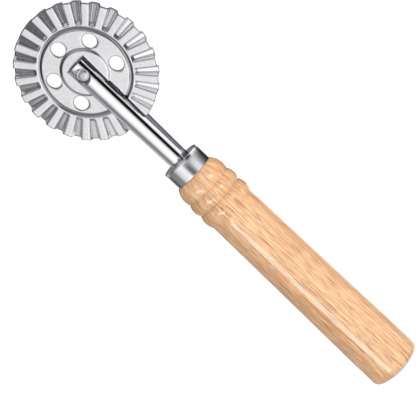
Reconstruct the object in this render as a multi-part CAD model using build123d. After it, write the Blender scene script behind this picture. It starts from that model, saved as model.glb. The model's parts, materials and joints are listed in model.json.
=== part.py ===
from build123d import *
import math
import os

# Tracing wheel with a fluted rim, on a turned wooden handle, lying on its side.
# It is modelled about the wheel's centre: +X runs along the handle to its butt, and +Z along the axle.
# At the end every piece moves to the tool's own frame, whose origin is below the middle of the whole tool.
# All sizes are in millimetres.

# ---- wheel ----
WHEEL_R = 25.0
SHEET = 0.55
FLUTES = 24
FLUTE_START_R = 17.1
FLUTE_FLOOR_R = 17.8
FLUTE_DEPTH_INNER = 0.9
FLUTE_DEPTH_RIM = 1.75
FLUTE_WIDTH_INNER = 1.95
FLUTE_WIDTH_RIM = 3.5
FLUTE_WALL_SLOPE = 0.42
GROOVE_INNER_R = 15.0
GROOVE_OUTER_R = 16.5
GROOVE_DEPTH = 0.4
BOSS_FOOT_R = 8.6
BOSS_TOP_R = 7.9
BOSS_RISE = 0.45
HOLES = 6
HOLE_CIRCLE_R = 11.6
HOLE_R = 2.6
FIRST_HOLE_ANGLE = 4.5

# ---- axle, hub and washers ----
AXLE_R = 1.25
RUNNING_GAP = 0.05
END_PLAY = 0.1
WASHER_R = 2.4
WASHER_THICK = 0.4
HUB_R = 2.9
HUB_NECK_R = 2.1
COLLAR_CHAMFER = 0.2
RIVET_HEAD_R = 1.6
RIVET_HEAD_RISE = 0.85
RIVET_HEAD_ROUND = 0.55

# ---- fork arms: each pair is the value at the axle, then at the ferrule ----
ARM_SHEET = 0.6
ARM_START_X = -4.3
ARM_END_X = 41.8
ARM_CREST_Z = (5.45, 4.2)
ARM_R = (3.94, 3.42)
ARM_EDGE_Z = (2.05, 1.1)
DISH_FLOOR_Z = 3.6
DISH_FLOOR_R = 2.25
DISH_RIM_R = 2.95

# ---- tails of the arms, inside the handle ----
TAIL_HALF_WIDTH = 2.4
TAIL_BEND_START_X = 43.9
TAIL_BEND_END_X = 51.0
TAIL_END_X = 78.0
TAIL_RIVET_R = 0.7
TAIL_RIVET_HEAD_R = 1.0
TAIL_RIVET_HEAD_RISE = 0.35
TAIL_RIVETS = {"tail_rivet_front": 56.0, "tail_rivet_back": 70.0}

# ---- ferrule ----
FERRULE_START_X = 43.0
FERRULE_END_X = 49.5
FERRULE_R = 7.2
FERRULE_WALL = 0.5
FERRULE_LIP_R = 0.45
SLOT_CLEARANCE = 0.12

# ---- handle: crests and valleys are (x, radius) ----
SHOULDER_R = 7.3
BEAD_1 = (54.2, 9.13)
VALLEY_1 = (56.2, 8.75)
BEAD_2 = (58.9, 9.56)
VALLEY_2 = (61.25, 8.82)
BEAD_3 = (64.3, 9.62)
BARREL_START = (67.0, 8.87)
BARREL_WAIST = (98.0, 9.15)
CYLINDER_START_X = 129.0
CYLINDER_R = 9.55
BUTT_X = 145.9
DOME_R = 19.0
BUTT_EDGE_R = 2.6
BORE_R = 2.62
BORE_MOUTH_R = 4.5
BORE_END_X = 80.0


def disc(radius, low, high):
    """A round solid about the axle, from z = low to z = high."""
    return Pos(0, 0, (low + high) / 2) * Cylinder(radius, high - low)


def rod(radius, start, end):
    """A round solid about the handle's axis, from x = start to x = end."""
    return Pos((start + end) / 2, 0, 0) * Rot(0, 90, 0) * Cylinder(radius, end - start)


def rise_of_arc(radius, half_width):
    """How much an arc of this radius rises over this half width."""
    return radius - math.sqrt(radius**2 - half_width**2)


def between(ends, share):
    """The value a share of the way between two ends."""
    return ends[0] + share * (ends[1] - ends[0])


# ---- the wheel ----

WHEEL_TOP = (FLUTE_DEPTH_RIM + SHEET) / 2
BOSS_TOP = WHEEL_TOP + BOSS_RISE


def flute_section(x, floor, top, offset):
    """A trapezoid across a flute at distance x from the axle, its walls sloping in towards the floor."""
    share = (x - FLUTE_START_R) / (WHEEL_R - FLUTE_START_R)
    half_width = between((FLUTE_WIDTH_INNER, FLUTE_WIDTH_RIM), share) / 2 + offset
    foot = half_width + (floor - WHEEL_TOP) * FLUTE_WALL_SLOPE
    head = half_width + (top - WHEEL_TOP) * FLUTE_WALL_SLOPE
    corners = [(x, -foot, floor), (x, foot, floor), (x, head, top), (x, -head, top)]
    return make_face(Polyline(*corners, close=True))


def make_flute_solid(start, knee, top, below, offset):
    """A solid along one flute: its floor slopes down from start to the knee, then gently to past the rim."""
    end = WHEEL_R + 1
    share = (end - FLUTE_FLOOR_R) / (WHEEL_R - FLUTE_FLOOR_R)
    depth_at_end = between((FLUTE_DEPTH_INNER, FLUTE_DEPTH_RIM), share)
    sections = [
        flute_section(start, WHEEL_TOP - below, top, offset),
        flute_section(knee, WHEEL_TOP - FLUTE_DEPTH_INNER - below, top, offset),
        flute_section(end, WHEEL_TOP - depth_at_end - below, top, offset),
    ]
    return loft(sections, ruled=True)


def make_wheel_disc():
    """The pressed wheel: raised boss, stiffening groove, round holes, and flutes pressed down to the rim."""
    groove_side = (GROOVE_OUTER_R - GROOVE_INNER_R) / 3
    top = [
        (HUB_NECK_R, BOSS_TOP),
        (BOSS_TOP_R, BOSS_TOP),
        (BOSS_FOOT_R, WHEEL_TOP),
        (GROOVE_INNER_R, WHEEL_TOP),
        (GROOVE_INNER_R + groove_side, WHEEL_TOP - GROOVE_DEPTH),
        (GROOVE_OUTER_R - groove_side, WHEEL_TOP - GROOVE_DEPTH),
        (GROOVE_OUTER_R, WHEEL_TOP),
        (WHEEL_R, WHEEL_TOP),
    ]
    bottom = [(r, z - SHEET) for r, z in reversed(top)]
    outline = Polyline(*[(r, 0, z) for r, z in top + bottom], close=True)
    wheel = revolve(make_face(outline), Axis.Z, 360)

    wall = SHEET * math.hypot(1, FLUTE_WALL_SLOPE)
    pan = make_flute_solid(
        FLUTE_START_R - SHEET, FLUTE_FLOOR_R - SHEET / 3, WHEEL_TOP - SHEET / 2, SHEET, wall
    )
    hollow = make_flute_solid(FLUTE_START_R, FLUTE_FLOOR_R, WHEEL_TOP + SHEET, 0, 0)
    turns = [Rot(0, 0, FIRST_HOLE_ANGLE + k * 360 / FLUTES) for k in range(FLUTES)]
    wheel = wheel.fuse(*[turn * pan for turn in turns])
    wheel = wheel.cut(*[turn * hollow for turn in turns])
    wheel = wheel & disc(WHEEL_R, -WHEEL_R, WHEEL_R)

    hole = Pos(HOLE_CIRCLE_R, 0, 0) * disc(HOLE_R, -WHEEL_R, WHEEL_R)
    return wheel - [Rot(0, 0, FIRST_HOLE_ANGLE + k * 360 / HOLES) * hole for k in range(HOLES)]


# ---- the hub and the axle ----

HUB_HALF_LENGTH = DISH_FLOOR_Z - ARM_SHEET - WASHER_THICK - END_PLAY


def make_hub_bush():
    """The bush that turns on the rivet: a shoulder behind the wheel's boss, and a neck through it."""
    boss_under = BOSS_TOP - SHEET
    bush = disc(HUB_R, -HUB_HALF_LENGTH, boss_under) + disc(HUB_NECK_R, boss_under, HUB_HALF_LENGTH)
    return bush - disc(AXLE_R + RUNNING_GAP, -HUB_HALF_LENGTH, HUB_HALF_LENGTH)


def make_hub_collar():
    """The ring pressed on the bush's neck, which clamps the wheel's boss against the shoulder."""
    collar = disc(HUB_R, BOSS_TOP, HUB_HALF_LENGTH)
    collar = chamfer(collar.edges().group_by(Axis.Z)[-1], COLLAR_CHAMFER)
    return collar - disc(HUB_NECK_R, BOSS_TOP, HUB_HALF_LENGTH)


def make_thrust_washer():
    """The front washer, between the bush's end and the underside of the arm's dish."""
    top = DISH_FLOOR_Z - ARM_SHEET
    return disc(WASHER_R, top - WASHER_THICK, top) - disc(AXLE_R, top - WASHER_THICK, top)


def make_axle_rivet():
    """The axle: a shank between two rounded heads that sit in the arms' dishes."""
    head = disc(RIVET_HEAD_R, DISH_FLOOR_Z, DISH_FLOOR_Z + RIVET_HEAD_RISE)
    head = fillet(head.edges().group_by(Axis.Z)[-1], RIVET_HEAD_ROUND)
    return disc(AXLE_R, -DISH_FLOOR_Z, DISH_FLOOR_Z) + head + mirror(head, about=Plane.XY)


# ---- the fork ----

TAIL_OUTER_DROP = rise_of_arc(ARM_R[1], TAIL_HALF_WIDTH)
TAIL_INNER_DROP = ARM_SHEET + rise_of_arc(ARM_R[1] - ARM_SHEET, TAIL_HALF_WIDTH)


def arm_cone(inset):
    """A slim cone along the arm, with its surface brought in by inset and its ends past the arm's."""
    start = ARM_START_X - 1
    end = ARM_END_X + 1
    radii = [between(ARM_R, x / ARM_END_X) - inset for x in (start, end)]
    heights = [between(ARM_CREST_Z, x / ARM_END_X) - between(ARM_R, x / ARM_END_X) for x in (start, end)]
    along = Vector(end - start, 0, heights[1] - heights[0])
    base = Plane(origin=(start, 0, heights[0]), x_dir=(0, 1, 0), z_dir=along)
    return base * Cone(radii[0], radii[1], along.length, align=(Align.CENTER, Align.CENTER, Align.MIN))


def arm_space():
    """The wedge that an arm fills between its two ends, above the line of its edges."""
    above = 2 * ARM_CREST_Z[0]
    corners = [
        (ARM_START_X, 0, between(ARM_EDGE_Z, ARM_START_X / ARM_END_X)),
        (ARM_END_X, 0, ARM_EDGE_Z[1]),
        (ARM_END_X, 0, above),
        (ARM_START_X, 0, above),
    ]
    return extrude(make_face(Polyline(*corners, close=True)), amount=2 * ARM_R[0], both=True)


def dish_cone(floor, outset):
    """The dish's cone from the height of its floor to well above the arm, its radii larger by outset."""
    height = 2 * (ARM_CREST_Z[0] - DISH_FLOOR_Z)
    top_r = DISH_FLOOR_R + 2 * (DISH_RIM_R - DISH_FLOOR_R)
    return Pos(0, 0, floor + height / 2) * Cone(DISH_FLOOR_R + outset, top_r + outset, height)


def tail_face(x, crest):
    """The tail's shallow trough at x, narrower than the arm, with its crest at z = crest."""
    outer_foot = crest - TAIL_OUTER_DROP
    inner_foot = crest - TAIL_INNER_DROP
    right = TAIL_HALF_WIDTH
    return make_face(
        [
            ThreePointArc((x, -right, outer_foot), (x, 0, crest), (x, right, outer_foot)),
            Line((x, right, outer_foot), (x, right, inner_foot)),
            ThreePointArc((x, right, inner_foot), (x, 0, crest - ARM_SHEET), (x, -right, inner_foot)),
            Line((x, -right, inner_foot), (x, -right, outer_foot)),
        ]
    )


def make_tail():
    """The front arm's tail: straight through the ferrule, bent in to meet its twin, and straight again."""
    low = TAIL_INNER_DROP
    stations = [
        (ARM_END_X, ARM_CREST_Z[1]),
        (TAIL_BEND_START_X, ARM_CREST_Z[1]),
        (TAIL_BEND_END_X, low),
        (TAIL_END_X, low),
    ]
    runs = []
    for (x, crest), (next_x, next_crest) in zip(stations, stations[1:]):
        step = Vector(next_x - x, 0, next_crest - crest)
        runs.append(extrude(tail_face(x, crest), amount=step.length, dir=step))
    rivet_holes = [Pos(x, 0, 0) * disc(TAIL_RIVET_R, 0, 2 * low) for x in TAIL_RIVETS.values()]
    return runs[0] + runs[1:] - rivet_holes


def make_fork_arm():
    """The front arm: a half-round channel with a dished seat for the rivet, and its tail in the handle."""
    dish = dish_cone(DISH_FLOOR_Z, 0)
    cup = dish_cone(DISH_FLOOR_Z - ARM_SHEET, ARM_SHEET)
    outside = arm_cone(0) & arm_space()
    arm = (outside - arm_cone(ARM_SHEET)) + (outside & cup)
    arm = arm - dish - disc(AXLE_R, 0, DISH_FLOOR_Z)
    return arm + make_tail()


def make_tail_rivet(x):
    """A small rivet that clamps the two tails into one shank."""
    crest = TAIL_INNER_DROP
    head = disc(TAIL_RIVET_HEAD_R, crest, crest + TAIL_RIVET_HEAD_RISE)
    return Pos(x, 0, 0) * (disc(TAIL_RIVET_R, -crest, crest) + head + mirror(head, about=Plane.XY))


# ---- the ferrule and the handle ----


def make_ferrule():
    """A drawn cup with a rounded lip, slotted for the two tails."""
    outside = rod(FERRULE_R, FERRULE_START_X, FERRULE_END_X)
    outside = fillet(outside.edges().group_by(Axis.X)[0], FERRULE_LIP_R)
    cup = outside - rod(FERRULE_R - FERRULE_WALL, FERRULE_START_X + FERRULE_WALL, FERRULE_END_X)
    slot_width = 2 * (TAIL_HALF_WIDTH + SLOT_CLEARANCE)
    slot_height = 2 * (ARM_CREST_Z[1] + SLOT_CLEARANCE)
    return cup - Pos(FERRULE_START_X, 0, 0) * Box(3 * FERRULE_WALL, slot_width, slot_height)


def make_handle():
    """The turned handle: spigot in the ferrule, three beads, a barrel that widens, and a domed butt."""
    spigot_x = FERRULE_START_X + FERRULE_WALL
    spigot_r = FERRULE_R - FERRULE_WALL
    cylinder_end = (BUTT_X - rise_of_arc(DOME_R, CYLINDER_R), CYLINDER_R)
    half_turn = math.asin(CYLINDER_R / DOME_R) / 2
    on_dome = (BUTT_X - DOME_R * (1 - math.cos(half_turn)), DOME_R * math.sin(half_turn))
    outline = [
        Polyline((BUTT_X, 0), (spigot_x, 0), (spigot_x, spigot_r), (FERRULE_END_X, spigot_r)),
        Line((FERRULE_END_X, spigot_r), (FERRULE_END_X, SHOULDER_R)),
        ThreePointArc((FERRULE_END_X, SHOULDER_R), BEAD_1, VALLEY_1),
        ThreePointArc(VALLEY_1, BEAD_2, VALLEY_2),
        ThreePointArc(VALLEY_2, BEAD_3, BARREL_START),
        ThreePointArc(BARREL_START, BARREL_WAIST, (CYLINDER_START_X, CYLINDER_R)),
        Line((CYLINDER_START_X, CYLINDER_R), cylinder_end),
        ThreePointArc(cylinder_end, on_dome, (BUTT_X, 0)),
    ]
    profile = make_face(outline)
    butt_corner = profile.vertices().sort_by_distance(cylinder_end)[0]
    handle = revolve(fillet(butt_corner, BUTT_EDGE_R), Axis.X, 360)

    mouth_length = TAIL_BEND_END_X - spigot_x
    mouth = Pos(spigot_x + mouth_length / 2, 0, 0) * Rot(0, 90, 0) * Cone(BORE_MOUTH_R, BORE_R, mouth_length)
    return handle - mouth - rod(BORE_R, TAIL_BEND_END_X, BORE_END_X)


def make_pieces():
    """Every piece by name, about the wheel's centre."""
    front_arm = make_fork_arm()
    front_washer = make_thrust_washer()
    pieces = {
        "wheel_disc": make_wheel_disc(),
        "hub_bush": make_hub_bush(),
        "hub_collar": make_hub_collar(),
        "thrust_washer_front": front_washer,
        "thrust_washer_rear": mirror(front_washer, about=Plane.XY),
        "axle_rivet": make_axle_rivet(),
        "fork_arm_front": front_arm,
        "fork_arm_rear": mirror(front_arm, about=Plane.XY),
        "ferrule": make_ferrule(),
        "handle": make_handle(),
    }
    for name, x in TAIL_RIVETS.items():
        pieces[name] = make_tail_rivet(x)
    return pieces


pieces = make_pieces()
box = Compound(children=[Part(piece.wrapped) for piece in pieces.values()]).bounding_box()
to_frame = Pos(-box.center().X, -box.center().Y, -box.min.Z)
os.makedirs("parts", exist_ok=True)
for name, piece in pieces.items():
    export_step(to_frame * piece, f"parts/{name}.step")
print(f"the wheel's centre is at {tuple(round(v, 4) for v in to_frame.position)} in the tool's frame")
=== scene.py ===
import json
import math

import bmesh
import bpy
from mathutils import Matrix, Vector

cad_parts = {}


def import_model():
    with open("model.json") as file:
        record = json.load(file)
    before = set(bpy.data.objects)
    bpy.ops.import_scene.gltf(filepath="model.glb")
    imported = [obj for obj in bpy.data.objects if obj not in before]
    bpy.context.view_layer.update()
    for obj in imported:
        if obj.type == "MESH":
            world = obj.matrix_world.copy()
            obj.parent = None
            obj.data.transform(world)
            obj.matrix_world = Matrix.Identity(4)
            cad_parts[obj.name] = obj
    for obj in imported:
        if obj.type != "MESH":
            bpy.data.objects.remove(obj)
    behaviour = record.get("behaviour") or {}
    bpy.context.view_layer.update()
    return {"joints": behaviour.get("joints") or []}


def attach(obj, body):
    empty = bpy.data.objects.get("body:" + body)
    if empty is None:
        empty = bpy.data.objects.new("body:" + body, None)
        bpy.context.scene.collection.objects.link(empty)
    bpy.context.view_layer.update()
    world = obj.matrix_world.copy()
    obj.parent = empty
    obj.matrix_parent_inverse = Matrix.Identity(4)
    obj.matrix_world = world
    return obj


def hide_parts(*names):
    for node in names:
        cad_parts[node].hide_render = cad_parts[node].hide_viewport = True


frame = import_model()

# Shapes are worked out in millimetres about the wheel's centre, like the CAD:
# +X runs along the handle and +Z along the axle.
MM = 0.001
PIVOT = Vector(frame["joints"][0]["pos_m"])
WELD_DISTANCE = 0.003
TURNS = 128

# ---- wheel ----
WHEEL_R = 25.0
SHEET = 0.55
FLUTES = 24
FLUTE_START_R = 17.1
FLUTE_FLOOR_R = 17.8
FLUTE_DEPTH_INNER = 0.9
FLUTE_DEPTH_RIM = 1.75
FLUTE_WIDTH_INNER = 1.95
FLUTE_WIDTH_RIM = 3.5
FLUTE_WALL_SLOPE = 0.42
WHEEL_TOP = (FLUTE_DEPTH_RIM + SHEET) / 2
GROOVE_INNER_R = 15.0
GROOVE_OUTER_R = 16.5
GROOVE_DEPTH = 0.4
GROOVE_WALL = 0.5
GROOVE_LIP_ROUND = 0.12
BOSS_TOP_R = 7.9
BOSS_FOOT_R = 8.6
BOSS_RISE = 0.45
BOSS_ROUND = 0.14
BORE_R = 2.1
HOLES = 6
HOLE_CIRCLE_R = 11.6
HOLE_R = 2.6
FIRST_ANGLE = math.radians(4.5)
SHEET_ROUND = 0.14
PRESS_ROUND = 0.3
WEB_INNER_R = 8.95
WEB_OUTER_R = 14.75
# How much wider a flute is on the under face, so that its walls keep the sheet's thickness.
UNDER_WIDEN = SHEET * (math.hypot(1, FLUTE_WALL_SLOPE) - FLUTE_WALL_SLOPE)
# Radii of the rings of points inside and outside the holes, close together where the sheet bends.
EDGE_GAPS = [0.0, 0.02, 0.07, SHEET_ROUND]
INNER_RINGS = [BORE_R + gap for gap in EDGE_GAPS] + [
    3.0, 4.5, 6.0, 7.2, 7.6, 7.75, 7.85, 7.95, 8.05, 8.25, 8.45, 8.55, 8.65, 8.78, WEB_INNER_R,
]
OUTER_RINGS = [
    WEB_OUTER_R, 14.88, 15.0, 15.12, 15.3, 15.42, 15.55, 15.75, 15.95, 16.08, 16.2, 16.38, 16.5,
    16.62, 16.75, 16.9, 17.05, 17.18, 17.32, 17.5, 17.65, 17.8, 17.95, 18.15, 18.6, 19.3, 20.2,
    21.1, 22.0, 22.9, 23.7, 24.4,
] + [WHEEL_R - gap for gap in reversed(EDGE_GAPS)]
# The columns of points start to follow the flutes outside the holes, and do so fully from this radius.
FLUTE_COLUMNS_R = FLUTE_START_R - 0.6
COLUMN_MARKS = 10
COLUMNS = 2 * COLUMN_MARKS * FLUTES
# Columns beside a flute's bends: how far from the bend on the flat side, and on the wall's side.
BEND_FLAT = (0.05, 0.15)
BEND_WALL = 0.06
FLOOR_MARK = 0.55
# Each hole's sector: points along its straight sides, and loops between the hole and the border.
SECTOR_SIDE = 8
SECTOR_LOOPS = [0.25, 0.5, 0.75, 1]

# ---- fork arms: pairs are the value at the axle, then at the ferrule ----
ARM_SHEET = 0.6
ARM_START_X = -4.3
ARM_END_X = 41.8
ARM_CREST_Z = (5.45, 4.2)
ARM_R = (3.94, 3.42)
ARM_EDGE_Z = (2.05, 1.1)
DISH_FLOOR_Z = 3.6
DISH_FLOOR_R = 2.25
DISH_SLOPE = 1.85 / 0.7
DISH_ROUND = 0.22
AXLE_R = 1.25
TAIL_BENDS = ((43.9, 4.2), (51.0, 1.9393), (78.0, 1.9393))
# Rows of points along the arm: before, across and after its dish.
DISH_REACH = 3.95
BEFORE_DISH = [ARM_START_X, -4.18, -4.06, -DISH_REACH]
ACROSS_DISH = [-3.3, -2.6, -2.0, -1.5, -1.0, -0.5, 0.0, 0.5, 1.0, 1.5, 2.0, 2.6, 3.3]
AFTER_DISH = [
    DISH_REACH, 4.4, 5.2, 6.5, 8.5, 11.0, 14.0, 17.5, 21.0, 25.0, 29.0, 33.0, 37.0, 40.0, 41.4,
    ARM_END_X,
]
STATIONS = BEFORE_DISH + ACROSS_DISH + AFTER_DISH
# Marks across each face, as shares of the way from the crest to the edge.
OUTER_MARKS = [0.0, 0.08, 0.16, 0.24, 0.32, 0.4, 0.47, 0.5267, 0.6, 0.7, 0.78, 0.86, 0.93, 1.0]
INNER_MARKS = [0.0, 0.1, 0.2, 0.3, 0.4, 0.5, 0.6, 0.6987, 0.74, 0.78, 0.82, 0.86, 0.93, 1.0]
CREST = len(OUTER_MARKS) - 1
TAIL_MARK = 7
DISH_MARK = 11
DISH_FREE_MARK = 0.9
# Loops of points around the dish: half their length along the arm, then half their width across it.
OUTER_LOOPS = [
    (1.25, 1.25), (1.7, 1.7), (2.05, 2.05), (2.2, 2.2), (2.32, 2.3), (2.45, 2.4), (2.6, 2.48),
    (2.75, 2.55), (2.88, 2.62), (3.02, 2.7), (3.15, 2.8),
]
INNER_LOOPS = [
    (1.25, 1.25), (2.3, 2.3), (2.65, 2.6), (2.8, 2.72), (2.95, 2.78), (3.1, 2.83), (3.25, 2.88),
    (3.4, 2.92), (3.55, 2.96), (3.65, 3.0), (3.75, 3.05),
]
LOOPS_TO_BORDER = (0.25, 0.5, 0.75)
LOOP_SQUEEZE = 1.25
LIP_BEVEL = 0.09

# ---- ferrule and handle ----
FERRULE_X = (43.0, 49.5)
FERRULE_R = 7.2
FERRULE_WALL = 0.5
FERRULE_LIP_R = 0.45
SLOT_EASE = 0.12
SLOT_FLAT = 0.3
HAIR = 0.02
SLOT_HALF_Y = 2.52
SLOT_HALF_Z = 4.32
SLOT_CORNER_R = 0.5
SHOULDER_R = 7.3
BEAD_ARCS = (
    ((49.5, 7.3), (54.2, 9.13), (56.2, 8.75)),
    ((56.2, 8.75), (58.9, 9.56), (61.25, 8.82)),
    ((61.25, 8.82), (64.3, 9.6), (67.0, 8.87)),
)
BARREL_ARC = ((67.0, 8.87), (98.0, 9.15), (129.0, 9.55))
CYLINDER_R = 9.55
BUTT_X = 145.9
DOME_R = 19.0
BUTT_EDGE_R = 2.6
HANDLE_BORE_R = 2.62
HANDLE_MOUTH_R = 4.5
HANDLE_MOUTH_X = 51.0
HANDLE_BORE_END_X = 80.0
TURNED_EASE = 0.2
BEAD_STEPS = 18
BARREL_STEPS = 24
EDGE_STEPS = 12
DOME_STEPS = 10

# ---- small pieces, mostly hidden ----
AXLE_RIVET = {"shank": 3.6, "shank_r": AXLE_R, "head_r": 1.6, "rise": 0.8, "rim": 0.58}
TAIL_RIVET = {"shank": 1.94, "shank_r": 0.7, "head_r": 1.0, "rise": 0.35, "rim": 0.1}
TAIL_RIVET_PLACES = {"tail_rivet_front": 56.0, "tail_rivet_back": 70.0}
HEAD_EDGE = (0.06, 0.08)
HEAD_STEPS = 12
CROWN_POWER = 0.6
WASHER_PLACES = {"front": 2.8, "rear": -2.8}
WASHER_HALF = 0.2
WASHER_R = 2.4
WASHER_EASE = 0.08
BUSH = [(-2.5, 1.3), (-2.5, 2.9), (1.05, 2.9), (1.05, 2.1), (2.5, 2.1), (2.5, 1.3)]
BUSH_EASE = 0.12
COLLAR = [(1.6, 2.1), (1.6, 2.9), (2.3, 2.9), (2.5, 2.7), (2.5, 2.1)]
COLLAR_EASE = 0.08


def between(ends, share):
    """The value a share of the way between two ends."""
    return ends[0] + share * (ends[1] - ends[0])


def soft_min(a, b, width):
    """The lower of two heights, rounded where they meet."""
    near = max(width - abs(a - b), 0.0) / width
    return min(a, b) - near * near * width / 4


def soft_max(a, b, width):
    """The higher of two heights, rounded where they meet."""
    return -soft_min(-a, -b, width)


def edge_drop(distance):
    """How far a sheet's face falls away at this distance from its rounded edge."""
    inside = max(SHEET_ROUND - distance, 0.0)
    return SHEET_ROUND - math.sqrt(SHEET_ROUND**2 - inside**2)


def arc_points(start, middle, end, steps):
    """Points along the arc through three points, from start to end."""
    (ax, ay), (bx, by), (cx, cy) = start, middle, end
    turn = 2 * (ax * (by - cy) + bx * (cy - ay) + cx * (ay - by))
    a2, b2, c2 = ax * ax + ay * ay, bx * bx + by * by, cx * cx + cy * cy
    ux = (a2 * (by - cy) + b2 * (cy - ay) + c2 * (ay - by)) / turn
    uy = (a2 * (cx - bx) + b2 * (ax - cx) + c2 * (bx - ax)) / turn
    radius = math.hypot(ax - ux, ay - uy)
    first = math.atan2(ay - uy, ax - ux)
    sweep = (math.atan2(cy - uy, cx - ux) - first + math.pi) % (2 * math.pi) - math.pi
    angles = [first + sweep * k / steps for k in range(steps + 1)]
    return [(ux + radius * math.cos(t), uy + radius * math.sin(t)) for t in angles]


def eased(outline, radius):
    """A closed outline with its corners rounded."""
    out = []
    count = len(outline)
    for k, corner in enumerate(outline):
        here = Vector(corner)
        before = Vector(outline[k - 1]) - here
        after = Vector(outline[(k + 1) % count]) - here
        cut = min(radius, 0.4 * before.length, 0.4 * after.length)
        first = here + before.normalized() * cut
        last = here + after.normalized() * cut
        for share in (0.0, 0.33, 0.67, 1.0):
            point = (1 - share) ** 2 * first + 2 * share * (1 - share) * here + share**2 * last
            out.append(tuple(point))
    return out


# ---- meshes ----


class Sheet:
    """Points and faces of one piece, in millimetres about the wheel's centre."""

    def __init__(self):
        self.points = []
        self.faces = []

    def row(self, points):
        """Adds points and gives their indices."""
        first = len(self.points)
        self.points.extend(points)
        return list(range(first, len(self.points)))

    def join(self, row, other, closed=False):
        """Quads between two rows of the same length."""
        count = len(row)
        for k in range(count if closed else count - 1):
            after = (k + 1) % count
            self.faces.append((row[k], row[after], other[after], other[k]))

    def loft(self, rows, closed=False):
        """Quads between each row and the next."""
        for row, other in zip(rows, rows[1:]):
            self.join(row, other, closed)


def make_piece(name, sheet, body, nodes, material, sharp=40):
    """A piece from a sheet, in metres in the CAD's frame, with hard edges above sharp degrees."""
    mesh = bpy.data.meshes.new(name)
    mesh.from_pydata(sheet.points, [], sheet.faces)
    shape = bmesh.new()
    shape.from_mesh(mesh)
    bmesh.ops.remove_doubles(shape, verts=shape.verts, dist=WELD_DISTANCE)
    bmesh.ops.recalc_face_normals(shape, faces=shape.faces)
    shape.transform(Matrix.Translation(PIVOT) @ Matrix.Scale(MM, 4))
    shape.to_mesh(mesh)
    shape.free()
    for polygon in mesh.polygons:
        polygon.use_smooth = True
    mesh.set_sharp_from_angle(angle=math.radians(sharp))
    piece = bpy.data.objects.new(name, mesh)
    bpy.context.scene.collection.objects.link(piece)
    mesh.materials.append(material)
    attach(piece, body)
    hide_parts(*nodes)
    return piece


def turned(outline, axis):
    """A closed outline of (along, radius) points spun about the X or the Z axis."""
    sheet = Sheet()
    columns = []
    for k in range(TURNS):
        angle = 2 * math.pi * k / TURNS
        c, s = math.cos(angle), math.sin(angle)
        if axis == "X":
            columns.append(sheet.row([(a, r * s, r * c) for a, r in outline]))
        else:
            columns.append(sheet.row([(r * c, r * s, a) for a, r in outline]))
    for column, other in zip(columns, columns[1:] + columns[:1]):
        sheet.join(column, other, closed=True)
    return sheet


# ---- the wheel ----


def flute_depth(x, start, floor):
    """How deep a flute is at distance x from the axle."""
    ramp = (x - start) * FLUTE_DEPTH_INNER / (floor - start)
    fall = (FLUTE_DEPTH_RIM - FLUTE_DEPTH_INNER) / (WHEEL_R - FLUTE_FLOOR_R)
    run = FLUTE_DEPTH_INNER + (x - floor) * fall
    return soft_max(soft_min(ramp, run, PRESS_ROUND), 0.0, PRESS_ROUND)


def half_width(x):
    """Half the width of a flute at the wheel's face, at distance x from the axle."""
    share = (x - FLUTE_START_R) / (WHEEL_R - FLUTE_START_R)
    return between((FLUTE_WIDTH_INNER, FLUTE_WIDTH_RIM), share) / 2


def wheel_face(r, angle, under):
    """Height of the wheel's upper or under face, without the rounding of its edges."""
    pitch = 2 * math.pi / FLUTES
    local = (angle + pitch / 2) % pitch - pitch / 2
    x, y = r * math.cos(local), r * math.sin(local)
    widen = UNDER_WIDEN if under else 0.0
    start = FLUTE_START_R - (SHEET if under else 0)
    floor = FLUTE_FLOOR_R - (SHEET / 3 if under else 0)
    wall = soft_max((half_width(x) + widen - abs(y)) / FLUTE_WALL_SLOPE, 0.0, PRESS_ROUND)
    flute = max(soft_min(flute_depth(x, start, floor), wall, PRESS_ROUND), 0.0)
    in_wall = min(r - GROOVE_INNER_R, GROOVE_OUTER_R - r) * GROOVE_DEPTH / GROOVE_WALL
    groove = soft_max(soft_min(in_wall, GROOVE_DEPTH, PRESS_ROUND), 0.0, GROOVE_LIP_ROUND)
    on_boss = (BOSS_FOOT_R - r) * BOSS_RISE / (BOSS_FOOT_R - BOSS_TOP_R)
    boss = soft_max(soft_min(on_boss, BOSS_RISE, BOSS_ROUND), 0.0, BOSS_ROUND)
    return WHEEL_TOP - (SHEET if under else 0) + boss - groove - flute


def column_angle(r, index, under):
    """Angle of a column of points: even near the hub, and following the flutes' edges at the rim."""
    pitch = 2 * math.pi / FLUTES
    even = index * pitch / (2 * COLUMN_MARKS)
    blend = min(max((r - WEB_OUTER_R) / (FLUTE_COLUMNS_R - WEB_OUTER_R), 0.0), 1.0)
    if blend == 0:
        return even
    flute = round(index / (2 * COLUMN_MARKS))
    step = index - flute * 2 * COLUMN_MARKS
    x = max(r, FLUTE_START_R)
    half = half_width(x) + (UNDER_WIDEN if under else 0.0)
    depth = max(flute_depth(x, FLUTE_START_R, FLUTE_FLOOR_R), FLUTE_DEPTH_INNER)
    foot = half - FLUTE_WALL_SLOPE * depth
    land = x * math.sin(pitch / 2)
    near, far = BEND_FLAT
    marks = [0.0, FLOOR_MARK * foot, foot - far, foot - near, foot + BEND_WALL, (foot + half) / 2]
    marks += [half - BEND_WALL, half + near, half + far, (half + land) / 2, land]
    local = math.copysign(math.asin(marks[abs(step)] / x), step)
    return between((even, flute * pitch + local), blend)


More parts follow.
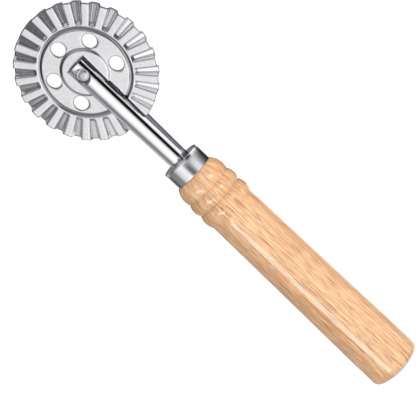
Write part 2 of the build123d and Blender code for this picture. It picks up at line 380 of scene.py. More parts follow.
def make_wheel():
    """One pressed sheet: boss, web with six holes, groove and flutes, with rounded edges."""
    sheet = Sheet()

    def point(r, angle, under, drop):
        """A point on a face, lowered into the sheet by drop."""
        z = wheel_face(r, angle, under) + (drop if under else -drop)
        turn = angle + FIRST_ANGLE
        return (r * math.cos(turn), r * math.sin(turn), z)

    def rings(radii, under):
        """Lofted rings of points about the axle on one face."""
        made = []
        for r in radii:
            drop = edge_drop(min(r - BORE_R, WHEEL_R - r))
            angles = [column_angle(r, k, under) for k in range(COLUMNS)]
            made.append(sheet.row([point(r, angle, under, drop) for angle in angles]))
        sheet.loft(made, closed=True)
        return made

    def hole_loops(border, middle, under):
        """Loops of points from a hole's edge out to its sector's border; gives the edge."""
        loops = [[] for _ in range(len(EDGE_GAPS) + len(SECTOR_LOOPS))]
        centre = Vector((HOLE_CIRCLE_R, 0))
        for r, t in border:
            far = Vector((r * math.cos(t), r * math.sin(t)))
            out = (far - centre).normalized()
            reach = (far - centre).length - HOLE_R
            gaps = EDGE_GAPS + [between((SHEET_ROUND, reach), share) for share in SECTOR_LOOPS]
            for loop, gap in zip(loops, gaps):
                at = centre + out * (HOLE_R + gap)
                angle = math.atan2(at.y, at.x) + middle
                loop.append(point(at.length, angle, under, edge_drop(gap)))
        made = [sheet.row(loop) for loop in loops]
        sheet.loft(made, closed=True)
        return made[0]

    inner, outer = [], []
    for under in (False, True):
        inner.append(rings(INNER_RINGS, under))
        outer.append(rings(OUTER_RINGS, under))
    sheet.join(inner[0][0], inner[1][0], closed=True)
    sheet.join(outer[0][-1], outer[1][-1], closed=True)

    per_sector = COLUMNS // HOLES
    turn = [2 * math.pi * (k - per_sector / 2) / COLUMNS for k in range(per_sector + 1)]
    radii = [between((WEB_INNER_R, WEB_OUTER_R), k / SECTOR_SIDE) for k in range(SECTOR_SIDE + 1)]
    border = [(WEB_OUTER_R, t) for t in turn]
    border += [(r, turn[-1]) for r in reversed(radii[1:-1])]
    border += [(WEB_INNER_R, t) for t in reversed(turn)]
    border += [(r, turn[0]) for r in radii[1:-1]]
    for sector in range(HOLES):
        middle = sector * 2 * math.pi / HOLES
        edges = [hole_loops(border, middle, under) for under in (False, True)]
        sheet.join(*edges, closed=True)
    return sheet


# ---- the fork arms ----


def arm_height(x, y, inset):
    """Height of the arm's outer face, or of its inner face, above a point."""
    share = x / ARM_END_X
    radius = between(ARM_R, share)
    centre = between(ARM_CREST_Z, share) - radius
    radius -= inset
    height = centre + math.sqrt(max(radius**2 - y**2, 0.0))
    dish = DISH_FLOOR_Z - inset + (math.hypot(x, y) - DISH_FLOOR_R - inset) * DISH_SLOPE
    floor = soft_max(dish, DISH_FLOOR_Z - inset, DISH_ROUND)
    return soft_min(height, floor, 2 * DISH_ROUND)


def arm_point(x, mark, inset):
    """A point on the arm's face, with mark running from -1 to 1 across it between its edges."""
    share = x / ARM_END_X
    radius = between(ARM_R, share)
    centre = between(ARM_CREST_Z, share) - radius
    radius -= inset
    reach = math.acos((between(ARM_EDGE_Z, share) - centre) / radius)
    y = radius * math.sin(mark * reach)
    if abs(mark) < DISH_FREE_MARK:
        return (x, y, arm_height(x, y, inset))
    return (x, y, centre + radius * math.cos(mark * reach))


def tail_point(x, crest, mark, inset):
    """A point on the tail's face, in the arm's last section shifted to another crest height."""
    _, y, z = arm_point(ARM_END_X, mark, inset)
    return (x, y, z + crest - ARM_CREST_Z[1])


def dish_loops(sheet, border, ovals, inset):
    """Loops of points from the rivet's hole out towards the border of the opening around the dish."""
    loops = [[] for _ in range(len(ovals) + len(LOOPS_TO_BORDER))]
    for index in border:
        x, y, _ = sheet.points[index]
        radius = between(ARM_R, x / ARM_END_X) - inset
        turn = math.asin(y / radius)
        angle = math.atan2(turn * radius / LOOP_SQUEEZE, x)
        for loop, (length, width) in zip(loops, ovals):
            at = (length * math.cos(angle), width * math.sin(angle))
            loop.append((at[0], at[1], arm_height(at[0], at[1], inset)))
        first_turn = math.asin(at[1] / radius)
        for loop, share in zip(loops[len(ovals) :], LOOPS_TO_BORDER):
            px = between((at[0], x), share)
            py = (between(ARM_R, px / ARM_END_X) - inset) * math.sin(between((first_turn, turn), share))
            loop.append((px, py, arm_height(px, py, inset)))
    return [sheet.row(loop) for loop in loops]


def arm_face(sheet, marks, ovals, inset):
    """An arm's outer or inner face: gives its rows by station, its tail's rows and its hole's edge."""
    both = [-m for m in reversed(marks[1:])] + marks
    rows = {x: sheet.row([arm_point(x, m, inset) for m in both]) for x in STATIONS}
    sheet.loft([rows[x] for x in BEFORE_DISH])
    sheet.loft([rows[x] for x in AFTER_DISH])
    low, high = CREST - DISH_MARK, CREST + DISH_MARK
    middle = [rows[x] for x in BEFORE_DISH[-1:] + ACROSS_DISH + AFTER_DISH[:1]]
    sheet.loft([row[: low + 1] for row in middle])
    sheet.loft([row[high:] for row in middle])

    border = rows[BEFORE_DISH[-1]][low : high + 1]
    border += [rows[x][high] for x in ACROSS_DISH]
    border += list(reversed(rows[AFTER_DISH[0]][low : high + 1]))
    border += [rows[x][low] for x in reversed(ACROSS_DISH)]
    loops = dish_loops(sheet, border, ovals, inset)
    sheet.loft(loops + [border], closed=True)

    in_tail = slice(CREST - TAIL_MARK, CREST + TAIL_MARK + 1)
    tail = [rows[ARM_END_X][in_tail]]
    for x, crest in TAIL_BENDS:
        tail.append(sheet.row([tail_point(x, crest, m, inset) for m in both[in_tail]]))
    sheet.loft(tail)
    return rows, tail, loops[0]


def make_arm(side):
    """A fork arm: half-round channel, dished seat and narrow tail. Side is 1 in front, -1 behind."""
    sheet = Sheet()
    rows, tail, bore = arm_face(sheet, OUTER_MARKS, OUTER_LOOPS, 0.0)
    inner_rows, inner_tail, inner_bore = arm_face(sheet, INNER_MARKS, INNER_LOOPS, ARM_SHEET)
    sheet.join(rows[ARM_START_X], inner_rows[ARM_START_X])
    for edge in (0, -1):
        sheet.join([rows[x][edge] for x in STATIONS], [inner_rows[x][edge] for x in STATIONS])
    low, high = CREST - TAIL_MARK, CREST + TAIL_MARK
    end, inner_end = rows[ARM_END_X], inner_rows[ARM_END_X]
    sheet.join(end[: low + 1], inner_end[: low + 1])
    sheet.join(end[high:], inner_end[high:])
    for edge in (0, -1):
        sheet.join([row[edge] for row in tail], [row[edge] for row in inner_tail])
    sheet.join(tail[-1], inner_tail[-1])
    sheet.join(bore, inner_bore, closed=True)
    sheet.points = [(x, y, side * z) for x, y, z in sheet.points]
    return sheet


# ---- the ferrule, the handle and the small turned pieces ----


def slot_reach(angle):
    """Distance from the axis to the edge of the ferrule's slot, by the angle from +Z toward +Y."""
    across, up = abs(math.sin(angle)), abs(math.cos(angle))
    flat = min(SLOT_HALF_Y / max(across, 1e-6), SLOT_HALF_Z / max(up, 1e-6))
    corner = (SLOT_HALF_Y - SLOT_CORNER_R, SLOT_HALF_Z - SLOT_CORNER_R)
    y, z = flat * across, flat * up
    if y <= corner[0] or z <= corner[1]:
        return flat
    along = corner[0] * across + corner[1] * up
    return along + math.sqrt(along**2 - corner[0] ** 2 - corner[1] ** 2 + SLOT_CORNER_R**2)


def make_ferrule():
    """A drawn cup: slotted end, rounded lip, straight wall, and an eased edge at the open end."""
    front, back = FERRULE_X
    inside_r = FERRULE_R - FERRULE_WALL
    lip = [math.radians(15 * k) for k in range(7)]
    outer = [(front + HAIR, SLOT_EASE), (front, SLOT_FLAT)]
    outside = [(front, FERRULE_R - FERRULE_LIP_R - SLOT_FLAT)]
    outside += [
        (front + FERRULE_LIP_R * (1 - math.cos(t)), FERRULE_R - FERRULE_LIP_R * (1 - math.sin(t)))
        for t in lip
    ]
    outside += [(front + 1.2, FERRULE_R), (front + 3, FERRULE_R), (back - 0.9, FERRULE_R)]
    outside += [(back - TURNED_EASE, FERRULE_R), (back - 0.06, FERRULE_R - 0.06)]
    outside += [(back, FERRULE_R - TURNED_EASE)]
    outside += [(back, inside_r), (back - 3, inside_r), (front + FERRULE_WALL + TURNED_EASE, inside_r)]
    outside += [(front + FERRULE_WALL, inside_r - TURNED_EASE)]
    inner = [(front + FERRULE_WALL, SLOT_FLAT), (front + FERRULE_WALL - HAIR, SLOT_EASE)]
    inner += [(front + FERRULE_WALL - SLOT_EASE, HAIR), (front + SLOT_EASE, HAIR)]
    sheet = Sheet()
    columns = []
    for k in range(2 * TURNS):
        angle = math.pi * k / TURNS
        reach = slot_reach(angle)
        loop = [(x, reach + gap) for x, gap in outer] + outside + [(x, reach + gap) for x, gap in inner]
        columns.append(sheet.row([(x, r * math.sin(angle), r * math.cos(angle)) for x, r in loop]))
    for column, other in zip(columns, columns[1:] + columns[:1]):
        sheet.join(column, other, closed=True)
    return sheet


def make_handle():
    """The turned handle: spigot, three beads, widening barrel, domed butt, and the tails' bore."""
    spigot_x = FERRULE_X[0] + FERRULE_WALL
    spigot_r = FERRULE_R - FERRULE_WALL
    outline = [(HANDLE_BORE_END_X, 0.0), (HANDLE_BORE_END_X, HANDLE_BORE_R)]
    outline += [(HANDLE_MOUTH_X, HANDLE_BORE_R)]
    outline += [(spigot_x, HANDLE_MOUTH_R), (spigot_x, spigot_r - TURNED_EASE)]
    outline += [(spigot_x + TURNED_EASE, spigot_r)]
    outline += [(FERRULE_X[1], spigot_r), (FERRULE_X[1], SHOULDER_R - 0.12)]
    outline += [(FERRULE_X[1] + 0.05, SHOULDER_R)]
    for arc in BEAD_ARCS:
        outline += arc_points(*arc, BEAD_STEPS)[1:]
    outline += arc_points(*BARREL_ARC, BARREL_STEPS)[1:]
    dome_x = BUTT_X - DOME_R
    edge_r = CYLINDER_R - BUTT_EDGE_R
    edge_x = dome_x + math.sqrt((DOME_R - BUTT_EDGE_R) ** 2 - edge_r**2)
    meet = math.asin(edge_r / (DOME_R - BUTT_EDGE_R))
    outline.append((between((BARREL_ARC[-1][0], edge_x), 0.5), CYLINDER_R))
    for k in range(EDGE_STEPS + 1):
        angle = math.pi / 2 + (meet - math.pi / 2) * k / EDGE_STEPS
        outline.append((edge_x + BUTT_EDGE_R * math.cos(angle), edge_r + BUTT_EDGE_R * math.sin(angle)))
    for k in range(1, DOME_STEPS + 1):
        angle = meet * (1 - k / DOME_STEPS)
        outline.append((dome_x + DOME_R * math.cos(angle), DOME_R * math.sin(angle)))
    return turned(outline, "X")


def rivet_outline(shank, shank_r, head_r, rise, rim):
    """Half of a rivet's section, from its shank's end up a short wall and over a low crown."""
    up, out = HEAD_EDGE
    head = [(shank, shank_r), (shank, head_r - out), (shank + up, head_r), (shank + rim, head_r)]
    for k in range(1, HEAD_STEPS + 1):
        angle = math.radians(90 * k / HEAD_STEPS)
        height = shank + rim + (rise - rim) * math.sin(angle)
        head.append((height, head_r * math.cos(angle) ** CROWN_POWER))
    head[-1] = (shank + rise, 0.0)
    return head


def make_rivet(sizes, x=0.0):
    """A rivet along Z with a low domed head at each end."""
    half = rivet_outline(**sizes)
    sheet = turned([(-a, r) for a, r in reversed(half)] + half, "Z")
    sheet.points = [(px + x, py, pz) for px, py, pz in sheet.points]
    return sheet


def ring(outline, ease):
    """A ring about the Z axis from a closed outline of (height, radius) points with eased corners."""
    return turned(eased(outline, ease), "Z")


# ---- materials ----


def colour(r, g, b):
    """A linear colour with full alpha."""
    return (r, g, b, 1.0)


CLOUD_STRETCH = (1 / 6.0, 1 / 6.0, 1 / 6.0)
# Shading from nearby faces: how far it looks, and the openness at which it starts and is complete.
AO_SAMPLES = 8
EDGE_REACH = 0.42
EDGE_OPENS = (0.96, 0.76)
CREASE_REACH = 0.8
BEAD_REACH = 3.0
CREASE_OPENS = (0.93, 0.68)
GRAIN_CORE_R = 7.0
WORN_BRIGHT = colour(0.93, 0.93, 0.94)
# Painted shade: dark lines drawn along the edges of the wheel and the arms.
PAINTED_EDGE_SHADE = colour(0.09, 0.09, 0.11)
# Painted shade for creases and for the wheel's rings.
PAINTED_SHADE = colour(0.06, 0.06, 0.075)
# Rings of painted shade on the wheel, in the groove and at the boss's foot: (radius, half width,
# strength).
WHEEL_RINGS = [(15.75, 0.85, 0.55), (8.3, 0.42, 0.45)]
# The wheel and the fork get their edges drawn dark as painted shade, and every metal gets painted shade in
# its creases.
METALS = {
    "wheel_plating": {
        "bright": colour(0.96, 0.96, 0.975), "dull": colour(0.92, 0.92, 0.945), "rough": 0.19,
        "grain": (0.9, 0.9, 0.9), "relief": 0.0005, "crease_shade": 0.95, "edge_wear_and_shade_tone": PAINTED_EDGE_SHADE,
        "edge_wear_and_shade_share": 0.8, "rings": WHEEL_RINGS,
    },
    "fork_plating": {
        "bright": colour(0.86, 0.86, 0.88), "dull": colour(0.81, 0.81, 0.84), "rough": 0.06,
        "grain": (0.12, 2.5, 2.5), "relief": 0.0015, "crease_shade": 0.8, "edge_wear_and_shade_tone": PAINTED_EDGE_SHADE,
        "edge_wear_and_shade_share": 0.6,
    },
    "ferrule_plating": {
        "bright": colour(0.84, 0.84, 0.87), "dull": colour(0.77, 0.77, 0.82), "rough": 0.17,
        "grain": (3.5, 0.5, 0.5), "relief": 0.002,
    },
    "rivet_steel": {
        "bright": colour(0.9, 0.9, 0.91), "dull": colour(0.82, 0.82, 0.84), "rough": 0.32,
        "grain": (2.0, 2.0, 2.0), "relief": 0.001, "crease_shade": 0.95,
    },
    "washer_steel": {
        "bright": colour(0.68, 0.68, 0.7), "dull": colour(0.56, 0.56, 0.58), "rough": 0.3,
        "grain": (2.5, 2.5, 2.5),
    },
    "turned_brass": {
        "bright": colour(0.83, 0.66, 0.36), "dull": colour(0.72, 0.53, 0.26), "rough": 0.2,
        "grain": (0.7, 0.7, 6.0),
    },
}
WOOD_DEEP = colour(0.67, 0.385, 0.19)
WOOD_PALE = colour(0.76, 0.48, 0.268)
WOOD_STREAK = colour(0.55, 0.28, 0.12)
WOOD_PORE = colour(0.34, 0.145, 0.055)
# Painted shade for the corners between the beads.
WOOD_CORNER_SHADE = colour(0.42, 0.2, 0.075)
FLOOR_GLOW = 0.72


class Nodes:
    """Short ways to build one material's nodes."""

    def __init__(self, name):
        self.material = bpy.data.materials.new(name)
        self.material.use_nodes = True
        self.tree = self.material.node_tree
        self.tree.nodes.clear()
        self.out = self.tree.nodes.new("ShaderNodeOutputMaterial")
        self.shader = self.tree.nodes.new("ShaderNodeBsdfPrincipled")
        self.tree.links.new(self.shader.outputs[0], self.out.inputs[0])

    def add(self, kind, inputs=None, **settings):
        node = self.tree.nodes.new(kind)
        for key, value in settings.items():
            setattr(node, key, value)
        for key, value in (inputs or {}).items():
            self.put(node.inputs[key], value)
        return node

    def put(self, socket, value):
        if isinstance(value, bpy.types.NodeSocket):
            self.tree.links.new(value, socket)
        else:
            socket.default_value = value

    def place(self, stretch):
        """The object's own coordinates in millimetres, stretched."""
        coords = self.add("ShaderNodeTexCoord")
        scale = tuple(s / MM for s in stretch)
        inputs = {"Vector": coords.outputs["Object"], "Scale": scale}
        return self.add("ShaderNodeMapping", inputs).outputs[0]

    def noise(self, at, detail, rough=0.55, distortion=0.0):
        """Noise from 0 to 1 at the given places."""
        inputs = {"Vector": at, "Scale": 1.0, "Detail": detail, "Roughness": rough}
        inputs["Distortion"] = distortion
        return self.add("ShaderNodeTexNoise", inputs).outputs["Fac"]

    def spread(self, first, second):
        """Distances in millimetres from the wheel's centre along two axes, and their length together."""
        parts = self.add("ShaderNodeSeparateXYZ", {"Vector": self.place((1, 1, 1))})
        a = self.math("SUBTRACT", parts.outputs[first], PIVOT["XYZ".index(first)] / MM)
        b = self.math("SUBTRACT", parts.outputs[second], PIVOT["XYZ".index(second)] / MM)
        square = self.math("ADD", self.math("POWER", a, 2.0), self.math("POWER", b, 2.0))
        return a, b, self.math("SQRT", square, 0.0)

    def grain(self, along, across):
        """Places drawn out along the handle, as if every turned surface had the same radius."""
        parts = self.add("ShaderNodeSeparateXYZ", {"Vector": self.place((1, 1, 1))})
        y, z, radius = self.spread("Y", "Z")
        share = self.math("DIVIDE", CYLINDER_R * across, self.math("MAXIMUM", radius, GRAIN_CORE_R))
        inputs = {"X": self.math("MULTIPLY", parts.outputs["X"], along)}
        inputs.update({"Y": self.math("MULTIPLY", y, share), "Z": self.math("MULTIPLY", z, share)})
        return self.add("ShaderNodeCombineXYZ", inputs).outputs[0]

    def band(self, radius, middle, half):
        """1 on a ring about the wheel's axle, fading to 0 at its borders."""
        away = self.math("ABSOLUTE", self.math("SUBTRACT", radius, middle), 0.0)
        return self.map(away, (half, half / 2), (0.0, 1.0), True)

    def map(self, value, source, target, smooth=False):
        """A value brought from one range to another."""
        inputs = {"Value": value, "From Min": source[0], "From Max": source[1]}
        inputs.update({"To Min": target[0], "To Max": target[1]})
        kind = "SMOOTHSTEP" if smooth else "LINEAR"
        return self.add("ShaderNodeMapRange", inputs, interpolation_type=kind).outputs[0]

    def math(self, operation, a, b):
        node = self.add("ShaderNodeMath", operation=operation)
        self.put(node.inputs[0], a)
        self.put(node.inputs[1], b)
        return node.outputs[0]

    def mix(self, share, a, b):
        """The colour a at share 0 and the colour b at share 1."""
        node = self.add("ShaderNodeMix", data_type="RGBA")
        self.put(node.inputs[0], share)
        self.put(node.inputs[6], a)
        self.put(node.inputs[7], b)
        return node.outputs[2]

    def set(self, **values):
        """Sets or links the shader's inputs by name."""
        for key, value in values.items():
            self.put(self.shader.inputs[key.replace("_", " ")], value)

    def bump(self, height, depth):
        """Relief of this depth in millimetres."""
        node = self.add("ShaderNodeBump", {"Height": height, "Strength": 1.0, "Distance": depth * MM})
        self.put(self.shader.inputs["Normal"], node.outputs[0])

    def shut_in(self, reach, opens, inside):
        """How far faces within reach shut a point in, from 0 to 1, looking out of the piece or into it."""
        settings = {"samples": AO_SAMPLES, "inside": inside, "only_local": True}
        node = self.add("ShaderNodeAmbientOcclusion", {"Distance": reach * MM}, **settings)
        return self.map(node.outputs["AO"], opens, (0.0, 1.0))

    def edges(self):
        """1 along convex edges and 0 on flat faces."""
        return self.shut_in(EDGE_REACH, EDGE_OPENS, True)

    def creases(self, reach):
        """1 in narrow corners and 0 in the open."""
        return self.shut_in(reach, CREASE_OPENS, False)


def metal(
    name, bright, dull, rough, grain, relief=0.004, crease_shade=0.5, edge_wear_and_shade_tone=WORN_BRIGHT, edge_wear_and_shade_share=0.5, rings=()
):
    """Plated or turned metal: cloudy tone, fine polishing marks, edges drawn bright as wear or dark as
    painted shade, and painted shade in its creases and in given rings.
    """
    n = Nodes(name)
    cloud = n.noise(n.place(CLOUD_STRETCH), 3.0)
    marks = n.noise(n.place(grain), 5.0, 0.7)
    wear_and_shade_edges = n.edges()
    tone = n.mix(n.map(cloud, (0.3, 0.7), (0.0, 1.0), True), dull, bright)
    tone = n.mix(n.map(marks, (0.35, 0.75), (0.12, 0.0)), tone, dull)
    # Edges take a bright worn tone, or on the wheel and the arms a dark painted shade.
    tone = n.mix(n.math("MULTIPLY", wear_and_shade_edges, edge_wear_and_shade_share), tone, edge_wear_and_shade_tone)
    # Painted shade in narrow creases.
    tone = n.mix(n.math("MULTIPLY", n.creases(CREASE_REACH), crease_shade), tone, PAINTED_SHADE)
    # Painted shade in rings about the wheel's axle.
    for middle, half, share in rings:
        radius = n.spread("X", "Y")[2]
        tone = n.mix(n.math("MULTIPLY", n.band(radius, middle, half), share), tone, PAINTED_SHADE)
    base = n.map(marks, (0.3, 0.7), (rough * 0.7, rough * 1.3))
    n.set(Base_Color=tone, Metallic=1.0, Roughness=n.math("ADD", base, n.math("MULTIPLY", wear_and_shade_edges, 0.04)))
    n.bump(marks, relief)
    return n.material


def wood():
    """Pale open-pored hardwood under clear lacquer, its grain running along the handle, with painted shade
    in its corners.
    """
    n = Nodes("lacquered_wood")
    broad = n.noise(n.place((0.01, 0.3, 0.3)), 3.0, 0.5, 0.4)
    fine = n.noise(n.grain(0.035, 2.2), 3.0, 0.6)
    pores = n.noise(n.grain(0.12, 3.4), 1.0, 0.4)
    flecks = n.noise(n.grain(0.25, 6.0), 1.0, 0.4)
    tone = n.mix(n.map(broad, (0.36, 0.64), (0.0, 1.0), True), WOOD_DEEP, WOOD_PALE)
    tone = n.mix(n.map(fine, (0.42, 0.66), (0.0, 0.7), True), tone, WOOD_STREAK)
    pore = n.map(pores, (0.57, 0.63), (0.0, 1.0), True)
    fleck = n.map(flecks, (0.55, 0.62), (0.0, 0.85), True)
    dark = n.math("MAXIMUM", pore, fleck)
    tone = n.mix(n.math("MULTIPLY", dark, 0.85), tone, WOOD_PORE)
    # Painted shade in the corners between the beads and beside the ferrule.
    tone = n.mix(n.creases(BEAD_REACH), tone, WOOD_CORNER_SHADE)
    rough = n.map(fine, (0.3, 0.7), (0.42, 0.56))
    n.set(Base_Color=tone, Roughness=rough, Specular_IOR_Level=0.4)
    n.set(Coat_Weight=1.0, Coat_Roughness=0.12)
    n.bump(n.math("SUBTRACT", n.math("MULTIPLY", fine, 0.3), dark), 0.006)
    return n.material


def floor_material():
    """A matt pale floor that glows a little, so that it stays as light as the backdrop."""
    n = Nodes("pale_floor")
    n.set(Base_Color=colour(0.8, 0.8, 0.8), Roughness=0.9)
    n.set(Emission_Color=colour(1, 1, 1), Emission_Strength=FLOOR_GLOW)
    return n.material


# ---- surroundings and camera ----

# Brightness of the studio by direction across the handle, in degrees from straight up toward +Y.
STUDIO = [
    (-180, 0.92), (-153, 0.88), (-137, 0.78), (-121, 0.65), (-109, 0.58), (-97, 0.55), (-75, 0.5),
    (-57, 0.5), (-45, 0.56), (-35, 0.84), (-25, 0.89), (-15, 0.96), (-4, 1.0), (24, 1.0), (34, 0.92),
    (45, 0.82), (60, 0.85), (90, 0.98), (110, 0.98), (125, 0.9), (138, 0.5), (150, 0.25), (165, 0.5),
    (180, 0.92),
]
# Its brightness by direction along the handle, from -1 toward the wheel's far end to 1 toward the butt.
STUDIO_ALONG = [
    (-1, 0.8), (-0.5, 0.66), (-0.2, 0.36), (-0.06, 0.36), (0.08, 0.98), (0.25, 1.0), (1, 1.0),
]
STUDIO_STRENGTH = 1.25
SCREEN_GAMMA = 2.2
# Levels below this one are a little bluer.
COOL_BELOW = 0.8
COOL_BLUE = 1.05
SOFT_LIGHT = 0.62
BACKDROP = 0.97
# Cards that only show in reflections: (from, to) along the handle, and for each strip
# (from, to, brightness) by direction across it.
CARD_DISTANCE = 40
CARD_FACE_DEGREES = 8
ARM_CARD = (-12, 48)
ARM_STRIPS = [
    (-160, -113, 0.2), (-104, -80, 0.6), (-80, -66, 0.22), (44, 52, 0.35), (52, 79, 0.004),
    (79, 86, 0.3), (86, 140, 1.1),
]
FERRULE_CARD = (48, 70)
FERRULE_STRIPS = [
    (-104, -76, 0.1), (14, 22, 0.5), (22, 40, 0.17), (40, 48, 0.36), (48, 56, 0.66), (56, 84, 0.95),
    (84, 96, 0.62), (96, 108, 0.36), (108, 120, 0.2), (120, 134, 0.1), (134, 215, 0.04),
]
# Lamps, at places in metres. HANDLE_LAMPS light only the handle.
KEY_LAMP = {"energy": 5.0, "size": (0.9, 0.9), "place": (-0.1, 0.55, 1.1), "glossy": False}
HANDLE_LAMPS = {
    "lower_strip": {"energy": 2.6, "size": (0.6, 0.24), "place": (0.2, -0.2, 0.98), "glossy": True},
    "upper_spot": {"energy": 5.0, "size": (0.3, 0.2), "place": (-0.1, 0.92, 0.38), "glossy": True},
}
# The floor, in metres: half its width, and how far it lies below the tool.
FLOOR_HALF = 3.0
FLOOR_DROP = 0.0002
FLOOR_CELLS = 40
# The camera: where it stands from AIM, which is in millimetres from the wheel's centre.
ELEVATION = math.radians(60.454)
AZIMUTH = math.radians(104.868)
ROLL = math.radians(-149.53)
AIM = Vector((61.465, -4.892, 2.893))
DISTANCE = 2.045
LENS = 527.56


def world():
    """Glossy surfaces see a studio of soft strips, and everything else sees plain pale light."""
    made = bpy.data.worlds.new("studio")
    made.use_nodes = True
    tree = made.node_tree
    tree.nodes.clear()

    def add(kind, **settings):
        node = tree.nodes.new(kind)
        for key, value in settings.items():
            setattr(node, key, value)
        return node

    def brightness(value, low, high, levels):
        """A ramp of brightness along a value, each level as it looks on screen from 0 to 1."""
        share = add("ShaderNodeMapRange")
        tree.links.new(value, share.inputs["Value"])
        share.inputs["From Min"].default_value = low
        share.inputs["From Max"].default_value = high
        ramp = add("ShaderNodeValToRGB")
        tree.links.new(share.outputs[0], ramp.inputs[0])
        stops = ramp.color_ramp.elements
        while len(stops) < len(levels):
            stops.new(0.5)
        first, last = levels[0][0], levels[-1][0]
        for stop, (at, level) in zip(stops, levels):
            stop.position = (at - first) / (last - first)
        for stop, (at, level) in zip(stops, levels):
            light = level**SCREEN_GAMMA
            stop.color = (light, light, light * (COOL_BLUE if level < COOL_BELOW else 1.0), 1)
        return ramp.outputs[0]

    def plain_light(strength):
        """White light of one strength from everywhere."""
        node = add("ShaderNodeBackground")
        node.inputs[0].default_value = (1, 1, 1, 1)
        node.inputs[1].default_value = strength
        return node.outputs[0]

    def shown_to(rays, shown, others):
        """One light for rays of a kind, and another for the others."""
        node = add("ShaderNodeMixShader")
        tree.links.new(path.outputs[rays], node.inputs[0])
        tree.links.new(others, node.inputs[1])
        tree.links.new(shown, node.inputs[2])
        return node.outputs[0]

    coords = add("ShaderNodeTexCoord")
    parts = add("ShaderNodeSeparateXYZ")
    angle = add("ShaderNodeMath", operation="ARCTAN2")
    tree.links.new(coords.outputs["Generated"], parts.inputs[0])
    tree.links.new(parts.outputs["Y"], angle.inputs[0])
    tree.links.new(parts.outputs["Z"], angle.inputs[1])
    across = brightness(angle.outputs[0], -math.pi, math.pi, STUDIO)
    along = brightness(parts.outputs["X"], -1, 1, STUDIO_ALONG)
    both = add("ShaderNodeMix", data_type="RGBA", blend_type="MULTIPLY")
    both.inputs[0].default_value = 1
    tree.links.new(across, both.inputs[6])
    tree.links.new(along, both.inputs[7])
    strips = add("ShaderNodeBackground")
    tree.links.new(both.outputs[2], strips.inputs[0])
    strips.inputs[1].default_value = STUDIO_STRENGTH
    path = add("ShaderNodeLightPath")
    light = shown_to("Is Glossy Ray", strips.outputs[0], plain_light(SOFT_LIGHT))
    light = shown_to("Is Camera Ray", plain_light(BACKDROP), light)
    out = add("ShaderNodeOutputWorld")
    tree.links.new(light, out.inputs[0])
    bpy.context.scene.world = made


def floor():
    """A wide flat pale sheet under the tool, which doesn't show in reflections."""
    mesh = bpy.data.meshes.new("floor")
    shape = bmesh.new()
    bmesh.ops.create_grid(shape, x_segments=FLOOR_CELLS, y_segments=FLOOR_CELLS, size=FLOOR_HALF)
    for v in shape.verts:
        v.co.z = -FLOOR_DROP
    shape.to_mesh(mesh)
    shape.free()
    made = bpy.data.objects.new("floor", mesh)
    bpy.context.scene.collection.objects.link(made)
    mesh.materials.append(floor_material())
    made.visible_glossy = False


def lamp(name, energy, size, place, glossy):
    """A rectangular lamp that points at the middle of the frame. Glossy says if reflections show it."""
    light = bpy.data.lights.new(name, "AREA")
    light.energy = energy
    light.shape = "RECTANGLE"
    light.size, light.size_y = size
    made = bpy.data.objects.new(name, light)
    made.location = place
    made.rotation_euler = (-Vector(place)).to_track_quat("-Z", "Y").to_euler()
    made.visible_glossy = glossy
    bpy.context.scene.collection.objects.link(made)
    return made


def cards(name, along, strips):
    """Strips of card about the handle's axis that only show in reflections."""
    mesh = bpy.data.meshes.new(name)
    points, faces, levels = [], [], []
    for start, end, level in strips:
        steps = max(round((end - start) / CARD_FACE_DEGREES), 1)
        for k in range(steps):
            first = len(points)
            for share in (k / steps, (k + 1) / steps):
                angle = math.radians(between((start, end), share))
                for x in along:
                    points.append((x, CARD_DISTANCE * math.sin(angle), CARD_DISTANCE * math.cos(angle)))
            faces.append((first, first + 1, first + 3, first + 2))
            levels.append(level)
    mesh.from_pydata([Vector(p) * MM + PIVOT for p in points], [], faces)
    for level in sorted(set(levels)):
        n = Nodes(name)
        n.set(Base_Color=colour(0, 0, 0), Roughness=1.0, Specular_IOR_Level=0.0)
        n.set(Emission_Color=colour(1, 1, 1), Emission_Strength=level)
        mesh.materials.append(n.material)
    for polygon, level in zip(mesh.polygons, levels):
        polygon.material_index = sorted(set(levels)).index(level)
    made = bpy.data.objects.new(name, mesh)
    bpy.context.scene.collection.objects.link(made)
    made.visible_camera = False
    made.visible_diffuse = False
    made.visible_shadow = False


def camera():
    """The camera at the photo's viewing angle, a long way off, without shift or depth of field."""
    flat = math.cos(ELEVATION)
    back = Vector((flat * math.cos(AZIMUTH), flat * math.sin(AZIMUTH), math.sin(ELEVATION)))
    side = Vector((0, 0, 1)).cross(back).normalized()
    up = back.cross(side)
    right = math.cos(ROLL) * side + math.sin(ROLL) * up
    top = math.cos(ROLL) * up - math.sin(ROLL) * side
    data = bpy.data.cameras.new("camera")
    data.lens = LENS
    data.sensor_width = 36
    data.clip_start = 0.1
    data.clip_end = 20
    made = bpy.data.objects.new("camera", data)
    place = PIVOT + AIM * MM + back * DISTANCE
    made.matrix_world = Matrix.Translation(place) @ Matrix((right, top, back)).transposed().to_4x4()
    bpy.context.scene.collection.objects.link(made)
    bpy.context.scene.camera = made


def studio():
    """The surroundings, the key lamp and the camera."""
    bpy.context.scene.view_settings.view_transform = "Standard"
    world()
    floor()
    lamp("key", **KEY_LAMP)
    cards("arm_cards", ARM_CARD, ARM_STRIPS)
    cards("ferrule_cards", FERRULE_CARD, FERRULE_STRIPS)
    camera()


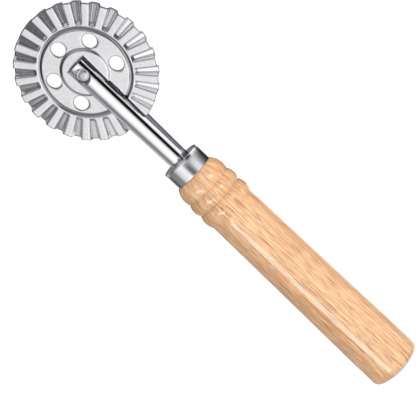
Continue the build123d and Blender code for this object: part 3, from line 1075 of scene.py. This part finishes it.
# ---- everything ----


def round_lips(arm):
    """Rounds the cut edges of an arm's sheet."""
    bevel = arm.modifiers.new("lips", "BEVEL")
    bevel.width = LIP_BEVEL * MM
    bevel.segments = 3
    bevel.limit_method = "ANGLE"
    bevel.angle_limit = math.radians(50)


def light_handle(handle):
    """Lamps that light only the handle."""
    receivers = bpy.data.collections.new("lit_by_strips")
    receivers.objects.link(handle)
    for name, settings in HANDLE_LAMPS.items():
        lamp(name, **settings).light_linking.receiver_collection = receivers


def build():
    """Every piece, with the body it rides on, the CAD node it replaces and its finish."""
    finish = {name: metal(name, **settings) for name, settings in METALS.items()}
    fixed = "handle_and_fork"

    plating = finish["wheel_plating"]
    make_piece("wheel_skin", make_wheel(), "wheel", ["wheel_disc"], plating)
    plating = finish["fork_plating"]
    for name, node, side in (("arm_front", "fork_arm_front", 1), ("arm_rear", "fork_arm_rear", -1)):
        round_lips(make_piece(name, make_arm(side), fixed, [node], plating))
    plating = finish["ferrule_plating"]
    make_piece("ferrule_cup", make_ferrule(), fixed, ["ferrule"], plating)
    handle = make_piece("handle_turned", make_handle(), fixed, ["handle"], wood(), 50)
    light_handle(handle)

    steel = finish["rivet_steel"]
    make_piece("axle", make_rivet(AXLE_RIVET), fixed, ["axle_rivet"], steel)
    for name, x in TAIL_RIVET_PLACES.items():
        pin = make_rivet(TAIL_RIVET, x)
        make_piece(name + "_turned", pin, fixed, [name], steel)
    steel = finish["washer_steel"]
    for name, z in WASHER_PLACES.items():
        low, high = z - WASHER_HALF, z + WASHER_HALF
        washer = ring([(low, AXLE_R), (low, WASHER_R), (high, WASHER_R), (high, AXLE_R)], WASHER_EASE)
        make_piece("washer_" + name, washer, fixed, ["thrust_washer_" + name], steel)
    brass = finish["turned_brass"]
    make_piece("bush_turned", ring(BUSH, BUSH_EASE), "wheel", ["hub_bush"], brass)
    collar = ring(COLLAR, COLLAR_EASE)
    make_piece("collar_turned", collar, "wheel", ["hub_collar"], brass)


studio()
build()
